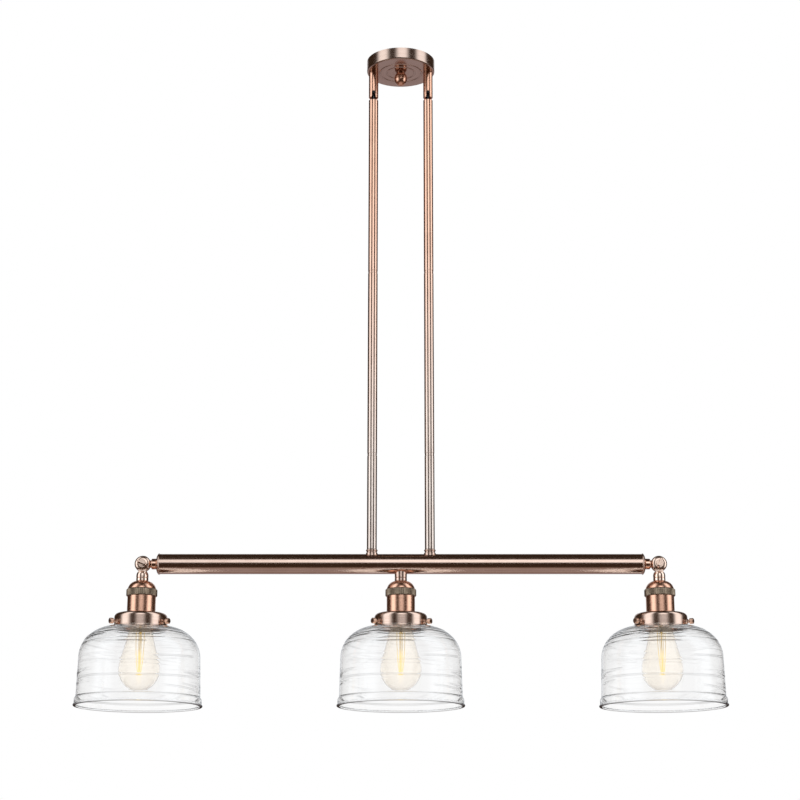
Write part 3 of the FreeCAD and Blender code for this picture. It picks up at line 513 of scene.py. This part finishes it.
def step(radius, z, inset=0.0, count=arc_points):
    """The step above the rim, from one face of the bell down to that face of the rim."""
    return np.concatenate([
        arc((radius - inset, z + step_round), (radius + step_sag, z), (radius + step_edge, z - step_edge), count),
        arc((radius + step_base, z - step_base),
            (radius + step_out - step_sag, z - step_knee * step_drop), (radius + step_out, z - step_drop)),
    ])


def shade_outline(crown_z, lip_top):
    """The bell's outline as (radius, z) in four parts: over its lip, down its outside, round its foot and up its
    inside."""
    flare = shade_flare_radius - shade_waist_radius
    throat = shade_waist_radius - shade_wall
    inner_flare = shade_flare_radius - throat
    inner_z = crown_z - shade_wall
    lip_foot = lip_top - shade_lip_height
    rim_z = crown_z - shade_height
    step_z = rim_z + rim_height
    rim_outer = shade_foot_radius + step_out
    rim_inner = rim_outer - shade_wall
    lip = np.concatenate([
        arc((throat, lip_top - lip_round), (throat + corner * lip_round, lip_top - corner * lip_round),
            (throat + lip_round, lip_top)),
        arc((shade_lip_radius - lip_round, lip_top),
            (shade_lip_radius - corner * lip_round, lip_top - corner * lip_round),
            (shade_lip_radius, lip_top - lip_round)),
        spot(shade_lip_radius, lip_foot + lip_edge),
        spot(shade_waist_radius, lip_foot - lip_hollow),
    ])
    outer = np.concatenate([
        arc((shade_waist_radius, crown_z + flare),
            (shade_waist_radius + corner * flare, crown_z + corner * flare), (shade_flare_radius, crown_z)),
        crown(crown_z, 0)[1:],
        spot(shade_foot_radius, step_z + 2 * step_round),
    ])
    foot = np.concatenate([
        step(shade_foot_radius, step_z, step_inset, short_arc_points),
        spot(rim_outer, rim_z + bead_height + bead_gap),
        arc((rim_outer + bead_start, rim_z + bead_height), (rim_outer + bead_reach, rim_z + bead_middle),
            (rim_outer - rim_round, rim_z), bead_points),
        arc((rim_inner + rim_round, rim_z), (rim_inner + corner * rim_round, rim_z + corner * rim_round),
            (rim_inner, rim_z + rim_round), short_arc_points),
    ])
    inner = np.concatenate([
        step(shade_foot_radius - shade_wall, step_z)[::-1],
        crown(crown_z, shade_wall)[:0:-1],
        arc((shade_flare_radius, inner_z), (throat + corner * inner_flare, inner_z + corner * inner_flare),
            (throat, inner_z + inner_flare)),
    ])
    return lip, spaced(outer, outer_pitch), spaced(foot, foot_pitch), spaced(inner, inner_pitch)


def ripples(angle, run, length):
    """Height of the glass's ripples. angle is round the shade from its front, run is how far down its outline."""
    random = np.random.default_rng(ripple_seed)
    streaks = [(math.radians(centre), math.radians(reach), *(v * mm for v in sizes))
               for centre, reach, *sizes in main_ripples]
    for _ in range(ripple_count):
        streaks.append((random.uniform(-math.pi, math.pi), random.uniform(*ripple_reach),
                        random.uniform(*ripple_place) * length, random.uniform(*ripple_rise) * mm,
                        random.uniform(*ripple_height) * mm, random.uniform(*ripple_width) * mm))
    height = np.zeros(np.broadcast(angle, run).shape)
    for centre, reach, start, slope, tall, width in streaks:
        wave = random.uniform(*ripple_wave) * mm
        turns, shift = random.integers(*ripple_waves), random.uniform(0, 2 * math.pi)
        away = (angle - centre + math.pi) % (2 * math.pi) - math.pi
        line = start + slope * away + wave * np.sin(turns * angle + shift)
        ends = np.clip((reach - np.abs(away)) / (ripple_end * reach), 0, 1)
        height += tall * ends * ends * (3 - 2 * ends) * np.exp(-0.5 * ((run - line) / width) ** 2)
    return height


def build_shade(side, material):
    """The bell of clear glass, whose outside carries the ripples."""
    low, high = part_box(f"glass_shade_{side}")
    middle = (low + high) / 2
    lip, outer, foot, inner = shade_outline(low.z + shade_height, high.z)
    away = np.gradient(outer, axis=0)
    away = np.stack([-away[:, 1], away[:, 0]], 1)
    away /= np.linalg.norm(away, axis=1)[:, None]
    run = np.concatenate([[0], np.cumsum(np.linalg.norm(np.diff(outer, axis=0), axis=1))])
    turn = np.arange(shade_segments) * 2 * math.pi / shade_segments
    fading = np.clip(run / ripples_start, 0, 1) * np.clip((run[-1] - run) / ripples_stop, 0, 1)
    rise = ripples(turn[None, :], run[:, None], run[-1]) * fading[:, None]
    rows = [tuple(p) for p in lip]
    rows += [(p[0] + n[0] * h, p[1] + n[1] * h) for p, n, h in zip(outer, away, rise)]
    rows += [tuple(p) for p in foot] + [tuple(p) for p in inner]
    piece = lathed(f"rippled_shade_{side}", rows, shade_segments, material, closed=True)
    piece.location = (middle.x, middle.y, 0)
    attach(piece, BODY[side])
    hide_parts(f"glass_shade_{side}")


def wire(name, points, material):
    """A round strand through points, as a mesh."""
    curve = bpy.data.curves.new(name, "CURVE")
    curve.dimensions = "3D"
    line = curve.splines.new("NURBS")
    line.points.add(len(points) - 1)
    for point, place in zip(line.points, points):
        point.co = (*place, 1.0)
    line.order_u = strand_order
    line.use_endpoint_u = True
    curve.bevel_depth = strand_radius
    curve.bevel_resolution = strand_round
    curve.resolution_u = strand_steps
    curve.use_fill_caps = True
    holder = placed(name, curve)
    mesh = bpy.data.meshes.new_from_object(holder.evaluated_get(bpy.context.evaluated_depsgraph_get()))
    bpy.data.objects.remove(holder)
    mesh.materials.clear()
    mesh.materials.append(material)
    mesh.shade_smooth()
    return placed(name, mesh)


def build_filament(side, glow, glass):
    """The bulb's inside: a glass mount, the rod below it with its foot, and the glowing strands."""
    low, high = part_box(f"bulb_filament_{side}")
    x, y = (low.x + high.x) / 2, (low.y + high.y) / 2
    mount_foot = high.z - mount_length
    strand_foot = mount_foot - strand_length
    mount = lathed(f"bulb_mount_{side}", [
        (max(share * mount_radius, axis_radius), high.z - depth * mm) for share, depth in mount_outline
    ], mount_segments, glass)
    # The rod and its foot take the strands' glowing material: painted light from the strands, not a lamp of their
    # own.
    rod = lathed(f"bulb_rod_{side}", [
        (axis_radius, mount_foot + rod_overlap),
        (rod_radius, mount_foot + rod_overlap - rod_bevel),
        (rod_radius, strand_foot + rod_foot_top + rod_foot_bevel),
        (rod_foot_radius, strand_foot + rod_foot_top),
        (rod_foot_radius, strand_foot - rod_foot_depth),
        (axis_radius, strand_foot - rod_foot_depth - rod_foot_bevel),
    ], rod_segments, glow)
    mount.location = rod.location = (x, y, 0)
    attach(mount, BODY[side])
    strands = [rod]
    for name, top_x, top_y, foot_x, foot_y in strand_sides:
        top = (x + top_x * mm, y + top_y * mm, mount_foot + strand_overlap)
        belly = (x + strand_belly * top_x * mm, y + strand_belly * top_y * mm,
                 mount_foot - strand_belly_place * strand_length)
        foot = (x + foot_x * mm, y + foot_y * mm, strand_foot)
        strands.append(wire(f"strand_{side}_{name}", (top, belly, foot), glow))
    for strand in strands:
        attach(strand, BODY[side])
    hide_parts(f"bulb_filament_{side}")


# ---- stage ----------------------------------------------------------------------------------------
def build_floor():
    """A pale floor far below, which the metal doesn't mirror."""
    material, tree, shader, place = new_material("pale_floor")
    tree.links.new(mixed(tree, noise(tree, place, *floor_noise), *floor_tones), shader.inputs["Base Color"])
    shader.inputs["Roughness"].default_value = floor_roughness
    turn = [2 * math.pi * k / floor_sides for k in range(floor_sides)]
    rim = [(floor_radius * math.cos(t), floor_radius * math.sin(t), 0) for t in turn]
    floor = smooth_mesh("floor", rim, [tuple(range(floor_sides))], material)
    floor.location.z = cad_box[0][2] - floor_drop
    floor.visible_glossy = False


def build_studio():
    """A white backdrop, and round the object the soft boxes and dark walls that the metal mirrors."""
    world = bpy.data.worlds.new("studio")
    bpy.context.scene.world = world
    world.use_nodes = True
    tree = world.node_tree
    tree.nodes.clear()
    ray = put(tree, "SeparateXYZ", {0: put(tree, "TexCoord").outputs["Generated"]}).outputs
    azimuth = calc(tree, "DEGREES", calc(tree, "ARCTAN2", ray[0], calc(tree, "MULTIPLY", ray[1], -1.0)))
    elevation = calc(tree, "DEGREES", calc(tree, "ARCSINE", ray[2]))
    around = stepped(tree, elevation, studio_heights)
    for turn, half_width, side_edge, height, half_height, level_edge, radiance in studio_panels.values():
        off = calc(tree, "ABSOLUTE", calc(tree, "WRAP", calc(tree, "SUBTRACT", azimuth, turn), 180.0, -180.0))
        up = calc(tree, "ABSOLUTE", calc(tree, "SUBTRACT", elevation, height))
        across = fade(tree, off, half_width + side_edge / 2, half_width - side_edge / 2)
        along = fade(tree, up, half_height + level_edge / 2, half_height - level_edge / 2)
        around = mixed(tree, calc(tree, "MULTIPLY", across, along), around, radiance)
    greys = [(height, (backdrop_gain * share,) * 3) for height, share in backdrop_heights]
    backdrop = stepped(tree, elevation, greys)
    path = put(tree, "LightPath").outputs
    straight = fade(tree, path["Glossy Depth"], 0.0, 1.0, 1.0, mirrored_share)
    seen = mixed(tree, calc(tree, "MULTIPLY", path["Is Transmission Ray"], straight), around, backdrop)
    seen = mixed(tree, path["Is Camera Ray"], seen, white)
    light = put(tree, "Background", {"Color": seen})
    tree.links.new(light.outputs[0], put(tree, "OutputWorld").inputs["Surface"])


def build_fill():
    """A broad soft light from above for the floor and whatever isn't bright metal."""
    lamp = bpy.data.lights.new("fill", "SUN")
    lamp.energy = fill_strength
    lamp.angle = math.radians(fill_angle)
    fill = placed("fill", lamp)
    fill.rotation_euler = (math.radians(fill_tilt[0]), math.radians(fill_tilt[1]), 0)
    fill.visible_glossy = False
    fill.visible_transmission = False


def build_camera():
    """The photograph's view, from below the bar and straight in front."""
    view = bpy.data.cameras.new("camera")
    view.lens = camera_lens
    view.sensor_width = camera_film
    view.clip_end = camera_reach
    camera = placed("camera", view)
    camera.location = camera_place
    camera.rotation_euler = (math.radians(90 + camera_pitch), 0, 0)
    bpy.context.scene.camera = camera


# ---- build ----------------------------------------------------------------------------------------
finish_frame()
shade_glass = clear_glass("shade_glass", white)
strand_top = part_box("bulb_filament_centre")[1].z - mount_length
glow = glowing("glowing_strands", strand_top - glow_from, strand_top - glow_from - glow_fade)
mount_glass = clear_glass("mount_glass", mount_tint)
for side in BODY:
    build_shade(side, shade_glass)
    build_filament(side, glow, mount_glass)
build_floor()
build_studio()
build_fill()
build_camera()
bpy.context.scene.view_settings.view_transform = "Standard"
